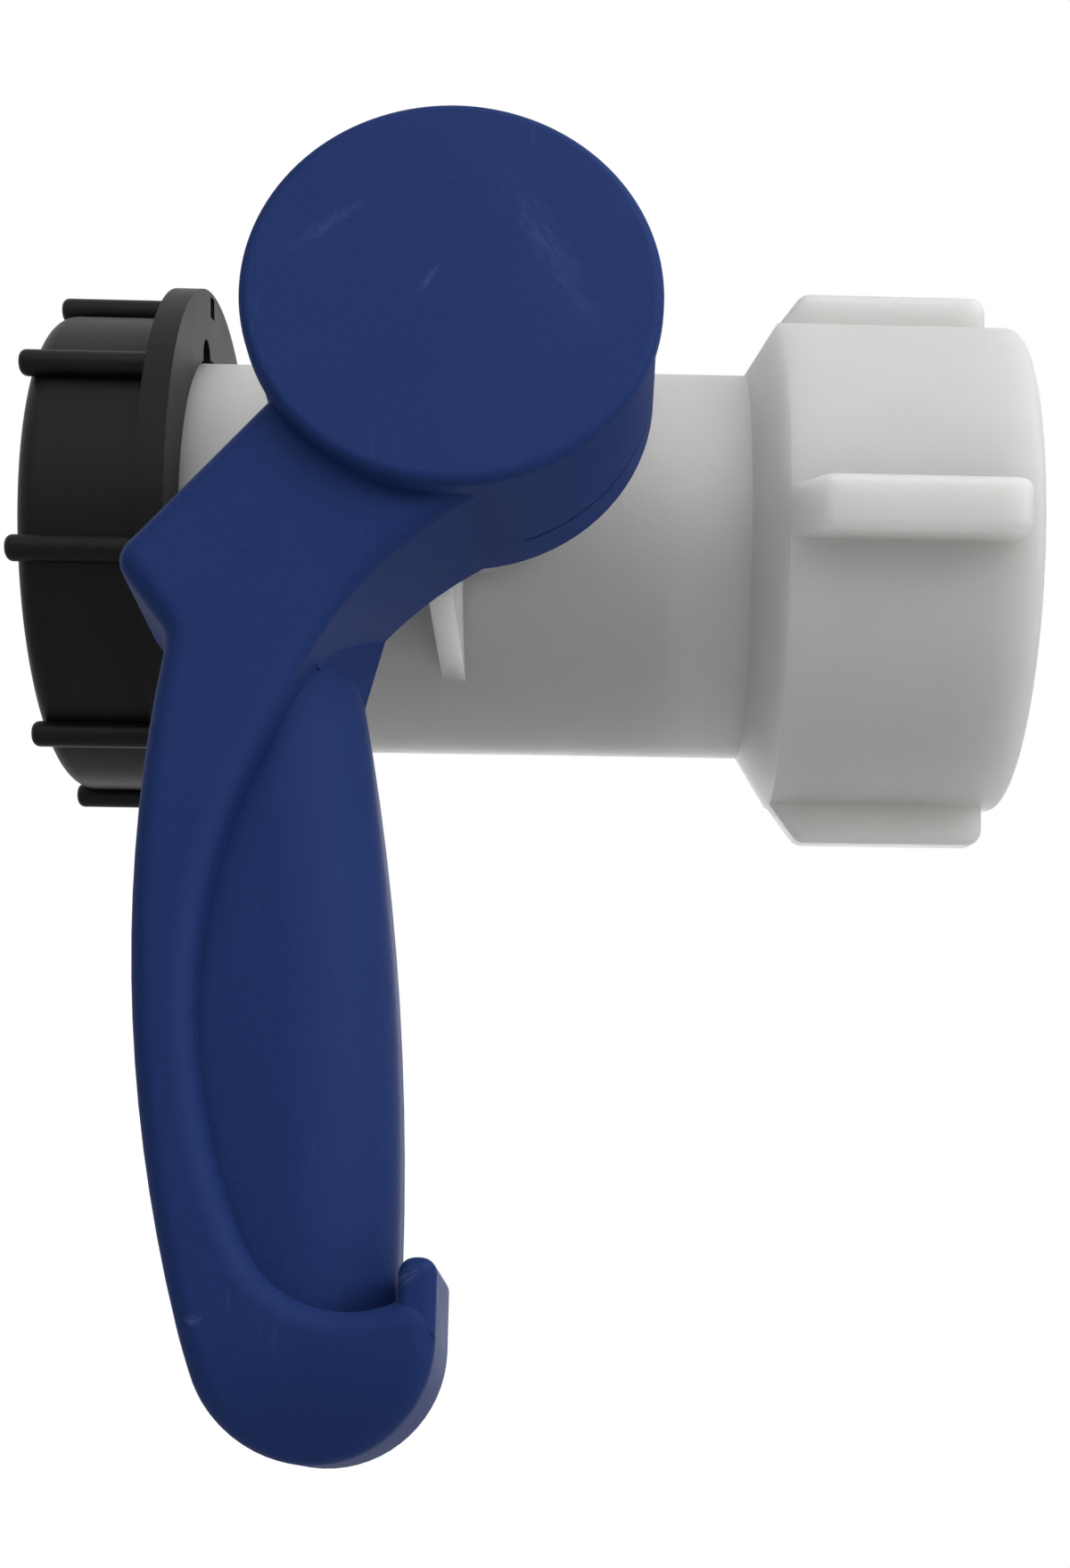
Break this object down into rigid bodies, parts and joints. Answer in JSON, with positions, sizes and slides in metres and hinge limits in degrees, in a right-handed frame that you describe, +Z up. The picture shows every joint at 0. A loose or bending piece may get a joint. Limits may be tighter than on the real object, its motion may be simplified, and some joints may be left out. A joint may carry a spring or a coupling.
{
  "type": "intermediate bulk container valve",
  "caption": "Quarter-turn plastic ball valve for a bulk liquid container: ribbed threaded inlet cup, tube body, blue hooked lever and black ribbed screw cap on the outlet.",
  "frame": {"origin": "centre of the inlet cup's mouth, on the flow axis", "axes": "+X out of the inlet cup along the flow axis, -Y along the stem towards the lever, +Z up"},
  "size_m": [0.1484, 0.1225, 0.1862],
  "materials": {
    "natural_plastic": "satin, slightly translucent",
    "blue_plastic": "satin moulded",
    "black_plastic": "satin moulded",
    "white_plastic": "smooth",
    "rubber": "matt",
    "steel": "plain"
  },
  "bodies": {
    "body": {"valve_body": "natural_plastic", "thrust_washer": "white_plastic", "seat_ring_inlet": "white_plastic", "seat_ring_outlet": "white_plastic", "seat_oring_inlet": "rubber", "seat_oring_outlet": "rubber", "seat_retainer": "natural_plastic", "inlet_gasket": "rubber"},
    "lever": {"lever": "blue_plastic", "hub_cover": "blue_plastic", "lever_washer": "steel", "lever_screw": "steel", "stem": "white_plastic", "stem_oring_lower": "rubber", "stem_oring_upper": "rubber", "ball": "white_plastic"},
    "cap_seal": {"cap_gasket": "rubber"},
    "cap": {"outlet_cap": "black_plastic"}
  },
  "joints": [
    {"name": "lever_turn", "type": "hinge", "parent": "body", "child": "lever", "pos_m": [-0.083, 0, 0], "axis": [0, 1, 0], "range_deg": [0, 90]},
    {"name": "cap_slide", "type": "slide", "parent": "body", "child": "cap_seal", "axis": [-1, 0, 0], "range_m": [0, 0.018]},
    {"name": "cap_turn", "type": "hinge", "parent": "cap_seal", "child": "cap", "pos_m": [-0.083, 0, 0], "axis": [-1, 0, 0], "range_deg": [0, 1080]}
  ],
  "couplings": [
    {"joint": "cap_slide", "follows": "cap_turn", "m_per_rad": 0.00095493}
  ]
}
